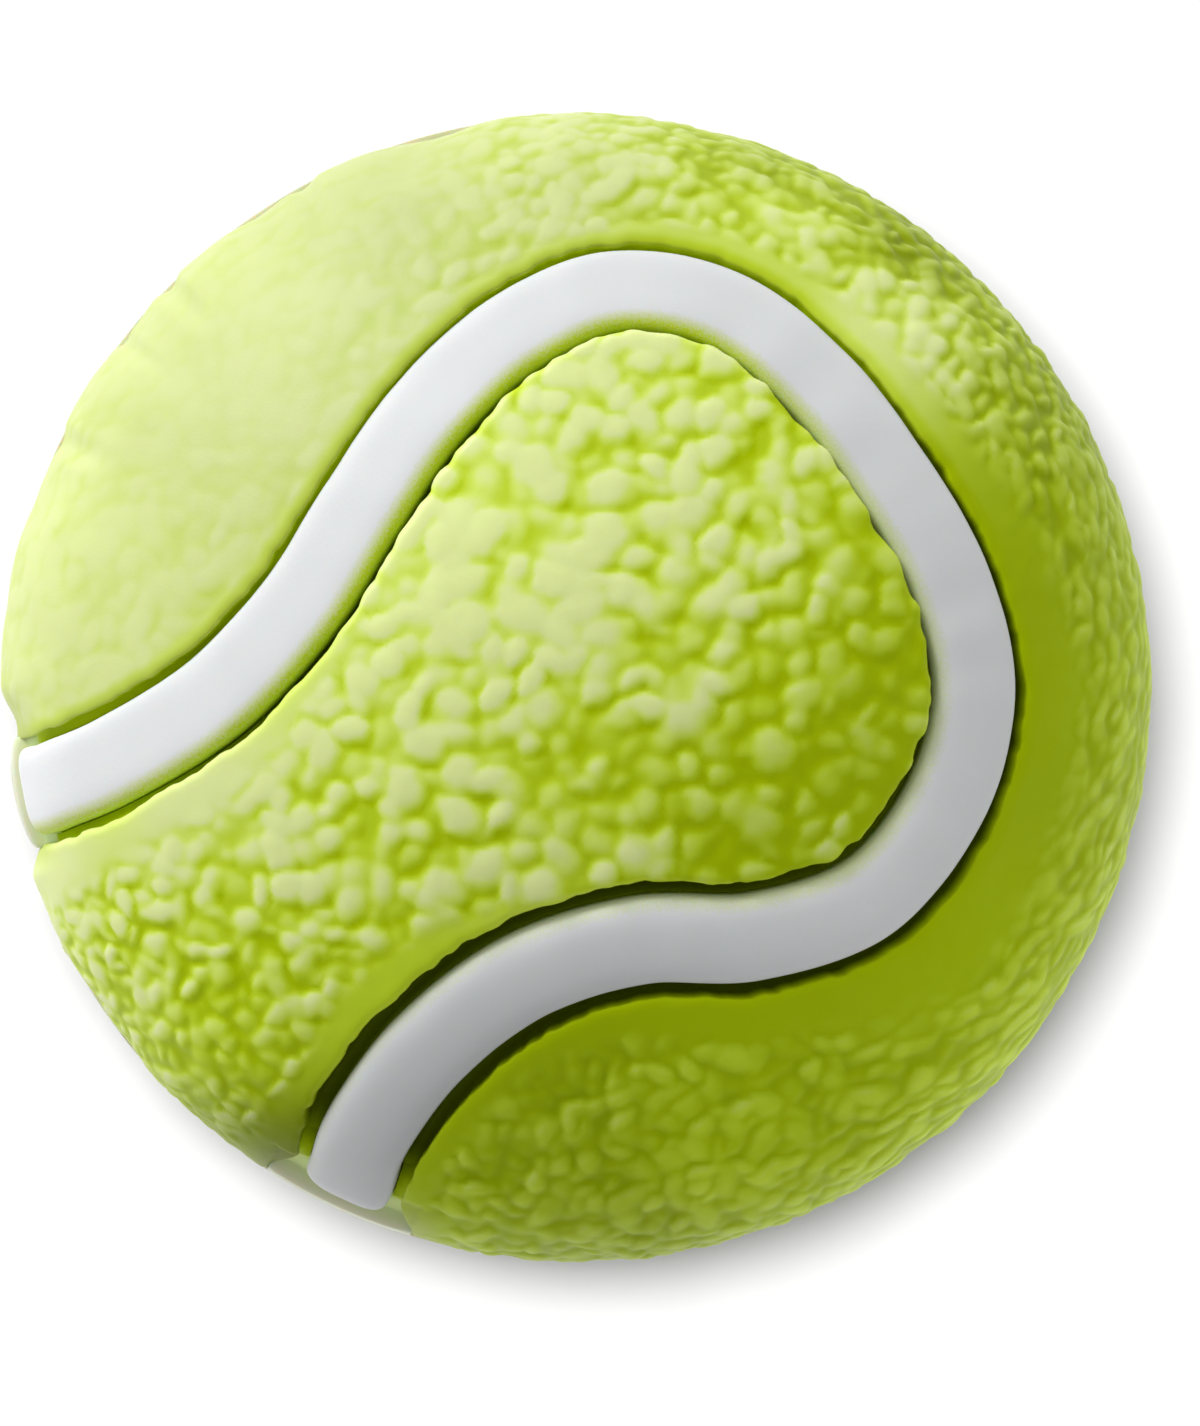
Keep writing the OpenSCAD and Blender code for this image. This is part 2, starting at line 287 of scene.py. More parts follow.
# Lamps: direction, height, level and angular width, and the light from all round
KEY_LAMP = (127, 20, 0.70, 24)
FLOOR_LAMP = (130, 84.2, 1.62, 13)
LAMP_DISTANCE = 500
AMBIENT_FAR = 0.65
AMBIENT_NEAR = 0.31
FLOOR_GLOW = 0.02
FLOOR_REACH = 600
BACKDROP_FOOT = 0.05
BACKDROP_TOP = 0.3


def linear(red, green, blue):
    """A colour with an alpha from its screen values out of 255."""
    def channel(value):
        share = value / 255
        return share / 12.92 if share <= 0.04045 else ((share + 0.055) / 1.055) ** 2.4
    return (channel(red), channel(green), channel(blue), 1)


FLOOR_COLOUR = linear(187, 187, 187)
# The green's ramp: its own deep colour in the hollows, then paler greens that carry a painted
# sheen
GREEN_DEEP = linear(190, 216, 0)
GREEN_MIDDLE = linear(207, 232, 46)
GREEN_PAINTED_HALF_SHEEN = linear(222, 243, 108)
GREEN_PAINTED_SHEEN = linear(232, 244, 165)
GREEN_WEB = linear(198, 215, 95)
GREEN_SHEEN = linear(226, 240, 90)
WHITE = linear(255, 255, 255)
PAINTED_CHANNEL_SHADE = linear(150, 150, 150)
STRIP_WHITE = linear(229, 231, 232)
STRIP_TINT = linear(214, 223, 165)
STRIP_GREEN = linear(198, 220, 30)
BACKING_LOW = linear(214, 218, 192)
BACKING_HIGH = linear(226, 230, 206)
LIP_TINT = linear(222, 228, 198)
STEM_LOW = linear(220, 224, 206)
STEM_HIGH = linear(230, 233, 218)


def smoothstep(low, high, value):
    """0 below low, 1 above high and a smooth rise between them."""
    t = np.clip((value - low) / (high - low), 0, 1)
    return t * t * (3 - 2 * t)


def unit(vectors):
    """The vectors at length 1."""
    return vectors / np.linalg.norm(vectors, axis=-1, keepdims=True)


def circle(angles):
    """Points of the unit circle at the angles."""
    return np.column_stack([np.cos(angles), np.sin(angles)])


def lay(places):
    """Places of the unrolled dome laid on the real one, and the ways straight out of it."""
    s = np.maximum(np.linalg.norm(places, axis=1), TINY)
    way = places / s[:, None]
    slope = np.where(s < CROWN_L, s / CROWN_R, TURN_A + (s - CROWN_L) / SHOULDER_R)
    slope = np.minimum(slope, math.pi / 2)
    on_crown = s < CROWN_L
    radius = np.where(on_crown, CROWN_R * np.sin(slope), SHOULDER_X + SHOULDER_R * np.sin(slope))
    crown_z = FACE_TOP - CROWN_R * (1 - np.cos(slope))
    shoulder_z = WALL_TOP + SHOULDER_R * np.cos(slope) - np.maximum(s - DOME_L, 0)
    height = np.where(on_crown, crown_z, shoulder_z)
    laid = np.column_stack([way * radius[:, None], height])
    out = np.column_stack([way * np.sin(slope)[:, None], np.cos(slope)])
    return laid, out


def unroll(points):
    """Where points near the dome lie on the unrolled dome, and how far they stand out of it."""
    across = np.linalg.norm(points[:, :2], axis=1)
    up = points[:, 2]
    crown_up = up - (FACE_TOP - CROWN_R)
    crown_slope = np.arctan2(across, crown_up)
    shoulder_slope = np.arctan2(across - SHOULDER_X, up - WALL_TOP)
    on_crown = crown_slope < TURN_A
    on_wall = up < WALL_TOP
    shoulder_l = CROWN_L + (shoulder_slope - TURN_A) * SHOULDER_R
    s = np.where(on_wall, DOME_L + WALL_TOP - up, shoulder_l)
    s = np.where(on_crown, crown_slope * CROWN_R, s)
    shoulder_lift = np.hypot(across - SHOULDER_X, up - WALL_TOP) - SHOULDER_R
    lift = np.where(on_wall, across - BALL_R, shoulder_lift)
    lift = np.where(on_crown, np.hypot(across, crown_up) - CROWN_R, lift)
    way = points[:, :2] / np.maximum(across, TINY)[:, None]
    return way * s[:, None], lift


def drop(points, ways):
    """Where lines through the points, along the ways, meet the dome, on the unrolled dome."""
    points = points.copy()
    for _ in range(DROP_ROUNDS):
        places, lift = unroll(points)
        out = lay(places)[1]
        points -= ways * (lift / np.sum(out * ways, axis=1))[:, None]
    return unroll(points)[0]


def smooth_curve(points):
    """A smooth curve through the points, led straight out at its ends."""
    led = np.vstack([2 * points[0] - points[1], points, 2 * points[-1] - points[-2]])
    t = (np.arange(CURVE_PER_SPAN) / CURVE_PER_SPAN)[:, None]
    spans = []
    for p, q, r, s in zip(led, led[1:], led[2:], led[3:]):
        bend = (2 * p - 5 * q + 4 * r - s) * t**2 + (3 * q - p - 3 * r + s) * t**3
        spans.append((2 * q + (r - p) * t + bend) / 2)
    return np.vstack([*spans, points[-1:]])


def run_along(laid):
    """The length along a line of points, at each of them."""
    return np.concatenate([[0], np.cumsum(np.linalg.norm(np.diff(laid, axis=0), axis=1))])


def evenly(places, step):
    """The places of a curve on the unrolled dome, spaced evenly over the real one."""
    run = run_along(lay(places)[0])
    marks = np.linspace(0, run[-1], round(run[-1] / step) + 1)
    return np.column_stack([np.interp(marks, run, column) for column in places.T])


def past(rib_end, lengths):
    """Places straight down the dome from an end of the rib, at the lengths past it."""
    reach = np.linalg.norm(rib_end)
    return rib_end / reach * (reach + np.asarray(lengths))[:, None]


def led_past(first, middle, last):
    """Values along the rib, with those past its first and last end."""
    return np.concatenate([first[::-1], middle, last])


def seam_frames(path):
    """The middle of a path over the dome, the way out and the way across to the tongue's side."""
    middle, out = lay(path)
    ahead = np.gradient(middle, axis=0)
    return middle, out, unit(np.cross(ahead, out))


rib = evenly(smooth_curve(np.array(SEAM_SHARES) * DOME_L), SEAM_STEP)
rib_ends = rib[[0, -1]]


def to_foot(rib_end):
    """Places from an end of the rib evenly down to the foot of the cover's wall."""
    length = FOOT_L - np.linalg.norm(rib_end)
    return past(rib_end, np.linspace(0, length, round(length / SEAM_STEP) + 1)[1:])


way_down, other_way_down = (to_foot(end) for end in rib_ends)
seam_path = led_past(way_down, rib, other_way_down)
seam_middle, seam_out, seam_side = seam_frames(seam_path)
seam_run = run_along(seam_middle)
rib_start = len(way_down)
rib_stop = rib_start + len(rib) - 1
seam_share = (seam_run - seam_run[rib_start]) / (seam_run[rib_stop] - seam_run[rib_start])
seam_share = np.clip(seam_share, 0, 1)
beyond_rib = np.maximum(seam_run[rib_start] - seam_run, seam_run - seam_run[rib_stop])


def by_seam(points):
    """The distance of points across the seam, positive on the tongue's side, and the share of the
    way along it at the nearest place."""
    nearest = np.concatenate([
        np.argmin(((part[:, None, :] - seam_middle[None]) ** 2).sum(axis=2), axis=1)
        for part in np.array_split(points, 1 + len(points) // CHUNK)
    ])
    gap = points - seam_middle[nearest]
    sign = np.where(np.sum(gap * seam_side[nearest], axis=1) > 0, 1, -1)
    ahead = unit(np.gradient(seam_middle, axis=0))[nearest]
    along = np.sum(gap * ahead, axis=1)
    across = np.sqrt(np.maximum(np.sum(gap * gap, axis=1) - along**2, 0))
    return sign * across, seam_share[nearest]


def past_edge(across, share, edge_t, edge_o):
    """How far points lie from the edge of their panel, from what by_seam gives for them."""
    edge = np.where(
        across > 0, np.interp(share, seam_share, edge_t), np.interp(share, seam_share, edge_o)
    )
    return np.abs(across) - edge


def patch_values(places, tongue):
    """Strength, size, drawing out, margin, painted sheen and brightness by painted light and shade
    at places, smoothly between the patches."""
    values = np.zeros((len(places), len(TONGUE_PATCHES[0]) - 2))
    for side, patches in ((True, TONGUE_PATCHES), (False, OUTER_PATCHES)):
        table = np.array(patches)
        chosen = tongue == side
        gap = places[chosen][:, None, :] / DOME_L - table[None, :, :2]
        weight = 1 / ((gap**2).sum(axis=2) + PATCH_SOFTNESS) ** PATCH_POWER
        values[chosen] = weight @ table[:, 2:] / weight.sum(axis=1, keepdims=True)
    return values.T


class Pebbles:
    """Round caps strewn over the unrolled dome. They run together into pebbles where they lie
    close, and leave creases where they do not."""

    def __init__(self):
        rng = np.random.default_rng(SEED)
        darts = rng.uniform(-FOOT_L, FOOT_L, (DART_COUNT, 2))
        darts = darts[np.linalg.norm(darts, axis=1) < FOOT_L + DART_PAST]
        dart_tongue = by_seam(lay(darts)[0])[0] > 0
        _, dart_size, dart_drawn, *_ = patch_values(darts, dart_tongue)
        dart_size *= rng.uniform(*SIZE_SPREAD, len(darts))
        kept = np.zeros(len(darts), int)
        count = 0
        for k, (place, size) in enumerate(zip(darts, dart_size)):
            others = kept[:count]
            gap = np.linalg.norm(darts[others] - place, axis=1)
            if not np.any(gap < DART_NEARNESS * (size + dart_size[others]) / 2):
                kept[count] = k
                count += 1
        kept = kept[:count]
        self.places = darts[kept]
        self.size = dart_size[kept]
        drawn = dart_drawn[kept]
        self.drawn = 1 + (drawn - 1) * rng.uniform(*DRAWN_SPREAD, count)
        outward = np.arctan2(self.places[:, 1], self.places[:, 0])
        streak = outward + STREAK_TURN + rng.normal(0, STREAK_SPREAD, count)
        self.turn = np.where(drawn > STREAK_FROM, streak, rng.uniform(0, math.pi, count))
        self.rise = rng.uniform(-CAP_SPREAD, CAP_SPREAD, count)
        self.tree = kdtree.KDTree(count)
        for k, (x, y) in enumerate(self.places):
            self.tree.insert((x, y, 0), k)
        self.tree.balance()

    def level(self, places):
        """Height of the pebbles at places, from 0 in the creases to 1 on the tops."""
        warped = places.copy()
        for reach, size, layer in WARPS:
            warped[:, 0] += reach * noise_at(places, size, layer)
            warped[:, 1] += reach * noise_at(places, size, layer + WARP_LAYER_STEP)
        near = np.array([
            [hit[1] for hit in self.tree.find_n((x, y, 0), NEAR_COUNT)] for x, y in warped
        ])
        gap = warped[:, None] - self.places[near]
        cos, sin = np.cos(self.turn[near]), np.sin(self.turn[near])
        stretch = np.sqrt(self.drawn[near])
        along = (gap[..., 0] * cos + gap[..., 1] * sin) / stretch
        beside = (gap[..., 1] * cos - gap[..., 0] * sin) * stretch
        caps = self.rise[near] - CAP_FALL * (along**2 + beside**2) / self.size[near] ** 2
        highest = caps.max(axis=1)
        merging = np.exp(CAP_MERGING * (caps - highest[:, None])).sum(axis=1)
        height = CAP_BASE + highest + np.log(merging) / CAP_MERGING
        plateau = smoothstep(*PLATEAU_LEVELS, height)
        return plateau + ROUND_SHARE * (smoothstep(*ROUND_LEVELS, height) - plateau)


def noise_at(places, size, layer):
    """Smooth random values between about -1 and 1 at places, with features of the size."""
    return np.array([noise.noise(Vector((x / size, y / size, layer))) for x, y in places])


def uneven(places, reach, size, layer):
    """Smooth random depths at places, from 0 to about twice the reach."""
    return reach * (1 + noise_at(places, size, layer))


def crevice(shares, rows):
    """A crevice's width and depth at shares of the way along the seam."""
    along, width, depth = np.array(rows).T
    width = CREVICE_W * np.interp(shares, along, width)
    return width, CREVICE_DEPTH * np.interp(shares, along, depth)


def flare(beyond, widest):
    """How much wider the channel is on each side at lengths past an end of the rib."""
    return widest * smoothstep(*FLARE_SPAN, beyond)


def rim_flat_depth(places):
    """How far the rim's flatter stretches, nicks and notches lie below the round one."""
    direction = np.degrees(np.arctan2(places[:, 1], places[:, 0])) % 360
    run = np.linalg.norm(places, axis=1)
    depth = np.zeros(len(places))
    for bends, start, stop in RIM_BENDS:
        near_rim = smoothstep(start, stop, run)
        for middle, half_width, bend_depth in bends:
            bend = 1 - smoothstep(0, half_width, np.abs(direction - middle))
            depth += bend_depth * bend * near_rim
    return depth


def beside_seam(offsets):
    """Places on the unrolled dome at the offsets across the seam, one for each place along it."""
    return drop(seam_middle + seam_side * offsets[:, None], seam_out)


def rim_arc(start, stop):
    """Places along the wall's foot from one place on it to another, counterclockwise."""
    first = math.atan2(start[1], start[0])
    sweep = (math.atan2(stop[1], stop[0]) - first) % (2 * math.pi)
    angles = first + np.linspace(0, sweep, round(sweep * FOOT_L / GRID_STEP) + 1)[1:-1]
    return FOOT_L * circle(angles)


def hex_grid(reach, step):
    """Places of a hexagonal grid over a square."""
    rows = np.arange(-reach, reach, step * math.sqrt(3) / 2)
    columns = np.arange(-reach, reach, step)
    return np.vstack([
        np.column_stack([columns + (k % 2) * step / 2, np.full(len(columns), y)])
        for k, y in enumerate(rows)
    ])


def add_object(name, data):
    """An object with the data, in the scene."""
    obj = bpy.data.objects.new(name, data)
    bpy.context.scene.collection.objects.link(obj)
    return obj


def add_mesh(name, points, faces, attributes=None):
    """A smooth mesh object in metres from points in millimetres, with its float attributes."""
    mesh = bpy.data.meshes.new(name)
    mesh.from_pydata((np.asarray(points) * MM).tolist(), [], faces)
    for key, values in (attributes or {}).items():
        layer = mesh.attributes.new(key, "FLOAT", "POINT")
        layer.data.foreach_set("value", np.asarray(values, np.float32))
    mesh.validate()
    mesh.shade_smooth()
    return add_object(name, mesh)


def panel_edges(pebbles):
    """How far the tongue's and the outer panel's edges lie from the seam's middle: further where
    their pebbles are low, and straight beside the lips."""
    rough = 1 - smoothstep(*CALM_SPAN, beyond_rib)
    widest = np.where(seam_share < 0.5, *MOUTH_FLARES)
    rag, *rag_noise = EDGE_RAG
    edges = []
    for sign, rows, scallop in zip((1, -1), (TONGUE_CREVICE, OUTER_CREVICE), SCALLOPS):
        edge = HALF_STRIP + crevice(seam_share, rows)[0]
        beside = beside_seam(sign * edge)
        low = COLOUR_LEVEL - pebbles.level(beside)
        edge += rough * (scallop * low + rag * noise_at(beside, *rag_noise))
        edges.append(np.maximum(edge, HALF_STRIP + BOND_GAP) + flare(beyond_rib, widest))
    return edges


def surface_places(edge_t, edge_o):
    """Places of the panels' vertices on the unrolled dome, the numbers of those on the tongue's
    edge, the outer edge and the two arcs of the foot, and the faces between them all."""
    rows_t = [beside_seam(edge_t + width) for width in (0, *EDGE_ROWS)]
    rows_o = [beside_seam(-edge_o - width) for width in (0, *EDGE_ROWS)]
    arc_t = rim_arc(rows_t[0][0], rows_t[0][-1])
    arc_o = rim_arc(rows_o[0][-1], rows_o[0][0])
    inner_rows = [row[1:-1] for row in rows_t[1:] + rows_o[1:]]
    grid = hex_grid(FOOT_L, GRID_STEP)
    grid = grid[np.linalg.norm(grid, axis=1) < FOOT_L - 0.5 * GRID_STEP]
    from_edge = past_edge(*by_seam(lay(grid)[0]), edge_t, edge_o)
    grid = grid[from_edge > EDGE_ROWS[-1] + 0.5 * GRID_STEP]
    places = np.vstack([rows_t[0], rows_o[0], arc_t, arc_o, *inner_rows, grid])

    count = len(seam_path)
    ids_t = np.arange(count)
    ids_o = ids_t + count
    ids_arc_t = 2 * count + np.arange(len(arc_t))
    ids_arc_o = ids_arc_t[-1] + 1 + np.arange(len(arc_o))
    loops = [np.append(ids_t, ids_arc_t[::-1]).tolist(), np.append(ids_o, ids_arc_o).tolist()]
    made = geometry.delaunay_2d_cdt([Vector(p) for p in places], [], loops, CDT_INSIDE, CDT_MERGE)
    back = [ids[0] if ids else -1 for ids in made[3]]
    faces = [[back[k] for k in face] for face in made[2]]
    return places, (ids_t, ids_o, ids_arc_t, ids_arc_o), faces


def dress_surface(places, across, share, edge_t, edge_o, pebbles):
    """Depth of the surface below the plain dome at places, and the green's looks there: how pale
    it is by a painted sheen, how bright by painted light and shade, how free of the painted shade
    beside the crevices (open), and how clear."""
    tongue = across > 0
    strength, _, _, margin, region_sheen, bright = patch_values(places, tongue)
    from_edge = np.maximum(past_edge(across, share, edge_t, edge_o), 0)
    roll_w, roll_depth = (np.where(tongue, *pair) for pair in zip(TONGUE_ROLL, OUTER_ROLL))
    fallen = 1 - np.clip(from_edge / roll_w, 0, 1)
    roll = roll_depth * (1 - np.sqrt(np.maximum(1 - fallen**2, 0)))

    run = np.linalg.norm(places, axis=1)
    at_mouth = smoothstep(*MOUTH_RUN, run) * (1 - smoothstep(*MOUTH_WIDTH, from_edge))
    rough = smoothstep(*MARGIN_SPAN, from_edge / np.maximum(margin, TINY))
    rough = np.where(margin < NO_MARGIN, 1, rough) * (1 - at_mouth)
    pebble_level = pebbles.level(places)
    level = MARGIN_LEVEL + (pebble_level - MARGIN_LEVEL) * rough
    relief = (RELIEF * np.maximum(1 - level, 0) + uneven(places, *FINE_NOISE)) * strength
    broad = uneven(places, *BROAD_NOISE)
    broad += smoothstep(*RIM_SPAN, run) * uneven(places, *RIM_NOISE)
    depth = roll + relief + broad + rim_flat_depth(places)

    # Painted sheen: the green is paler on the pebbles' tops, on their sides towards the key lamp
    # and by region
    side_sheen = pebble_level - pebbles.level(places + SIDE_SHEEN_STEP * SHEEN_LIT_SIDE)
    span = np.where(tongue, *PAINTED_SHEEN_SPANS) * np.clip(COLOUR_STRENGTH * strength, LEAST_COLOUR, 1)
    pale = region_sheen + span * (level - COLOUR_LEVEL + SIDE_SHEEN_SPAN * side_sheen * rough)
    # Painted shade: the green is deeper at the panels' edges beside the crevices
    pale -= np.where(tongue, *EDGE_PAINTED_SHADES) * (1 - smoothstep(*EDGE_SHADE_SPAN, from_edge))
    # Painted light and shade: each region's brightness, raised on the pebbles' tops and lowered in
    # the creases
    lit = np.clip(level, 0, 1) ** CREASE_SHADE_POWER - CREASE_SHADE_LEVEL
    bright = bright * (1 + np.where(tongue, *CREASE_SHADE_SPANS) * np.clip(strength, 0, 1) * rough * lit)
    return depth, {
        "pale": np.clip(pale, 0, 1), "bright": bright, "clear": at_mouth,
        # Painted shade on the panels next to the crevices
        "open": smoothstep(*SHADE_LIFT_SPAN, from_edge),
    }


def channel_columns(edge_t, edge_o, depth_t, depth_o):
    """Rows of points along the seam, from the outer panel's edge down into the channel, over the
    rib and up to the tongue's edge, and how free of painted shade the channel is there: the deeper
    the crevice, the more painted shade."""
    on_rib = np.zeros(len(seam_path), bool)
    on_rib[rib_start - RIB_PAST:rib_stop + RIB_PAST + 1] = True
    rib_depth = np.where(on_rib, SEAT_DEPTH, CREVICE_DEPTH - RIB_CLEARANCE)
    runout = smoothstep(*RUNOUT_SPAN, beyond_rib)
    floors, inners, unshaded_shares = [], [], []
    for rows in (OUTER_CREVICE, TONGUE_CREVICE):
        floor_depth = crevice(seam_share, rows)[1]
        floor_depth = floor_depth + (RUNOUT_DEPTH - floor_depth) * runout
        floor_depth[~on_rib] = CREVICE_DEPTH
        floors.append(floor_depth)
        inners.append(HALF_STRIP + BOND_GAP * (1 - smoothstep(*BOND_DEPTHS, floor_depth)))
        # How free of painted shade each crevice is: deeper floors take more painted shade
        unshaded_shares.append(np.maximum(runout, 1 - smoothstep(*CHANNEL_SHADE_DEPTHS, floor_depth)))
    (floor_o, floor_t), (inner_o, inner_t), (unshaded_o, unshaded_t) = floors, inners, unshaded_shares
    columns = [
        (-edge_o, (depth_o + floor_o) / 2), (-edge_o, floor_o), (-inner_o, floor_o),
        (-inner_o, rib_depth), (inner_t, rib_depth), (inner_t, floor_t), (edge_t, floor_t),
        (edge_t, (depth_t + floor_t) / 2),
    ]
    rows = [
        seam_middle + seam_side * offset[:, None] - seam_out * deep[:, None]
        for offset, deep in columns
    ]
    return rows, np.concatenate([unshaded_o] * 3 + [0 * unshaded_o, 0 * unshaded_t] + [unshaded_t] * 3)


def underside_faces(points, outline, first):
    """Faces of the cover's foot between its outline and the flange's pocket, and of the pocket,
    whose vertices begin at the first."""
    foot = list(range(first, first + POCKET_FLATS))
    top = [k + POCKET_FLATS for k in foot]
    hub = top[-1] + 1
    under = [*(int(k) for k in outline), *foot]
    size = len(outline)
    loops = [list(range(size)), list(range(size, size + POCKET_FLATS))]
    flat = geometry.delaunay_2d_cdt(
        [Vector(points[k][:2]) for k in under], [], loops, CDT_INSIDE, CDT_MERGE
    )
    pocket_side = POCKET_R * math.cos(math.pi / POCKET_FLATS)
    faces = []
    for face in flat[2]:
        ids = [under[flat[3][k][0]] for k in face]
        if np.linalg.norm(points[ids, :2].mean(axis=0)) > pocket_side:
            faces.append(ids)
    for k in range(POCKET_FLATS):
        after = (k + 1) % POCKET_FLATS
        faces.append([foot[k], foot[after], top[after], top[k]])
        faces.append([top[k], top[after], hub])
    return faces


def make_cover():
    """The green cover as one closed mesh: two pebbled panels, the channel between them, and the
    underside with the flange's pocket."""
    pebbles = Pebbles()
    edge_t, edge_o = panel_edges(pebbles)
    places, (ids_t, ids_o, ids_arc_t, ids_arc_o), faces = surface_places(edge_t, edge_o)
    count = len(seam_path)
    laid, out = lay(places)
    across, share = by_seam(laid)
    across[:count] = edge_t
    across[count:2 * count] = -edge_o
    share[:2 * count] = np.tile(seam_share, 2)
    depth, looks = dress_surface(places, across, share, edge_t, edge_o, pebbles)
    parts = [laid - out * depth[:, None]]

    column_ids = [ids_o]
    depth_t, depth_o = depth[:count], depth[count:2 * count]
    columns, channel_unshaded = channel_columns(edge_t, edge_o, depth_t, depth_o)
    for column in columns:
        column_ids.append(sum(map(len, parts)) + np.arange(count))
        parts.append(column)
    column_ids.append(ids_t)
    for left, right in zip(column_ids, column_ids[1:]):
        faces += np.column_stack([left[:-1], left[1:], right[1:], right[:-1]]).tolist()

    outline = [
        *ids_t[:1], *[ids[0] for ids in column_ids[-2:0:-1]], *ids_o[:1], *ids_arc_o[::-1],
        *ids_o[-1:], *[ids[-1] for ids in column_ids[1:-1]], *ids_t[-1:], *ids_arc_t[::-1],
    ]
    pocket_round = POCKET_R * circle(POCKET_TURNS)
    first = sum(map(len, parts))
    for z in (BACKING_T, POCKET_TOP):
        parts.append(np.column_stack([pocket_round, np.full(POCKET_FLATS, z)]))
    parts.append(np.array([[0, 0, POCKET_TOP]]))
    points = np.vstack(parts)
    faces += underside_faces(points, outline, first)

    unseen = np.zeros(len(points) - len(places) - len(channel_unshaded))
    channel_looks = {"pale": 0, "bright": 1, "open": channel_unshaded, "clear": 0}
    looks = {
        name: np.concatenate([values, channel_looks[name] + 0 * channel_unshaded, 1 + unseen])
        for name, values in looks.items()
    }
    return add_mesh("pebbled_cover", points, faces, looks)


def make_solid(obj):
    """Turns the faces of a closed mesh outward."""
    worked = bmesh.new()
    worked.from_mesh(obj.data)
    bmesh.ops.recalc_face_normals(worked, faces=worked.faces)
    if worked.calc_volume(signed=True) < 0:
        bmesh.ops.reverse_faces(worked, faces=worked.faces)
    worked.to_mesh(obj.data)
    worked.free()
    return obj


def skin(count, size, closed):
    """Faces between a count of rings of points, and from the last to the first if closed."""
    faces = []
    for i in range(count if closed else count - 1):
        for j in range(size):
            a, b = i * size + j, i * size + (j + 1) % size
            faces.append([a, b, (b + size) % (count * size), (a + size) % (count * size)])
    return faces


def sweep(name, path, sections, hub_depth, attributes=None):
    """A closed mesh along a path on the unrolled dome, through one section for each place on it.
    A section is a ring of [across, out] points. The ends are closed round a point."""
    middle, out, side = seam_frames(path)
    rings = middle[:, None] + side[:, None] * sections[..., :1] + out[:, None] * sections[..., 1:]
    count, size = sections.shape[:2]
    hubs = middle[[0, -1]] - out[[0, -1]] * hub_depth
    points = np.vstack([rings.reshape(-1, 3), hubs])
    faces = skin(count, size, closed=False)
    last = (count - 1) * size
    for j in range(size):
        after = (j + 1) % size
        faces.append([count * size, after, j])
        faces.append([count * size + 1, last + j, last + after])
    return make_solid(add_mesh(name, points, faces, attributes))


def strip_section(width_share, height_share):
    """The strip's section, with a flat seat and a round crown, drawn in by shares at its tips."""
    seat = BOND_GAP - SEAT_DEPTH
    side_up = -seat - CROWN_DEPTH - CROWN_RISE
    angles = np.linspace(0, math.pi, STRIP_FLATS + 1)
    half_w = HALF_STRIP * width_share
    cos, sin = np.cos(angles), np.maximum(np.sin(angles), 0)
    square = np.where(cos < 0, *SQUARENESSES[::-1])
    crown = np.column_stack([
        half_w * np.sign(cos) * np.abs(cos) ** square,
        seat + (side_up + CROWN_RISE * sin**square) * height_share,
    ])
    return np.vstack([[[-half_w, seat], [half_w, seat]], crown])


def make_strip():
    """The white strip on its rib, with round tips and a slightly uneven crown."""
    tips, tip_shares, falls = [], [], []
    for rib_end, corner_r in zip(rib_ends, TIP_CORNER_RS):
        lengths = tip_steps(corner_r, 0, *TIP_STEPS)[1:]
        tips.append(past(rib_end, lengths))
        half_widths = tip_half_width(lengths, corner_r)
        tip_shares.append(half_widths / HALF_STRIP)
        falls.append((HALF_STRIP - half_widths) / corner_r)
    path = led_past(tips[0], rib, tips[1])
    width_shares = led_past(tip_shares[0], np.ones(len(rib)), tip_shares[1])
    height_shares = 1 - TIP_FALL * led_past(falls[0], np.zeros(len(rib)), falls[1])
    sections = np.array([strip_section(*pair) for pair in zip(width_shares, height_shares)])
    run = run_along(lay(path)[0])
    crown = sections[:, 2:]
    reach, size, layer = STRIP_NOISE
    turns = STRIP_NOISE_TURNS * np.linspace(0, 1, crown.shape[1])
    wave = np.array([
        [noise.noise(Vector((along / size, turn, layer))) for turn in turns] for along in run
    ])
    crown[..., 1] -= reach * (STRIP_NOISE_MEAN + wave)
    across = sections[..., 0] / HALF_STRIP
    # Painted light and shade on the white: its brightness along the strip, and a painted highlight
    # on the tongue's side
    shares, *columns = np.array(STRIP_TINTING).T
    strength, bright, painted_highlight_lean = (
        np.interp(run / run[-1], shares, column)[:, None] for column in columns
    )
    tint = strength * smoothstep(*TINT_SPAN, across)
    bright = bright * (1 + painted_highlight_lean * across)
    looks = {
        "tint": np.concatenate([tint.ravel(), [0, 0]]),
        "bright": np.concatenate([bright.ravel(), [1, 1]]),
    }
    return sweep("seam_bead", path, sections, SEAT_DEPTH - 2 * BOND_GAP, looks)


def tip_steps(corner_r, start, straight, corner):
    """Lengths past an end of the rib, from a start to the tip's corners and round them, with the
    number of each."""
    tip_start = TIP_L - corner_r
    turns = np.linspace(0, math.pi / 2, corner)
    before = np.linspace(start, tip_start, straight)[:-1]
    return np.concatenate([before, tip_start + corner_r * np.sin(turns)])


def tip_half_width(lengths, corner_r):
    """Half the strip's width at lengths past an end of the rib, drawn in round its corners."""
    past_corner = np.clip((lengths - TIP_L + corner_r) / corner_r, 0, 1)
    return HALF_STRIP - corner_r * (1 - np.sqrt(1 - past_corner**2))


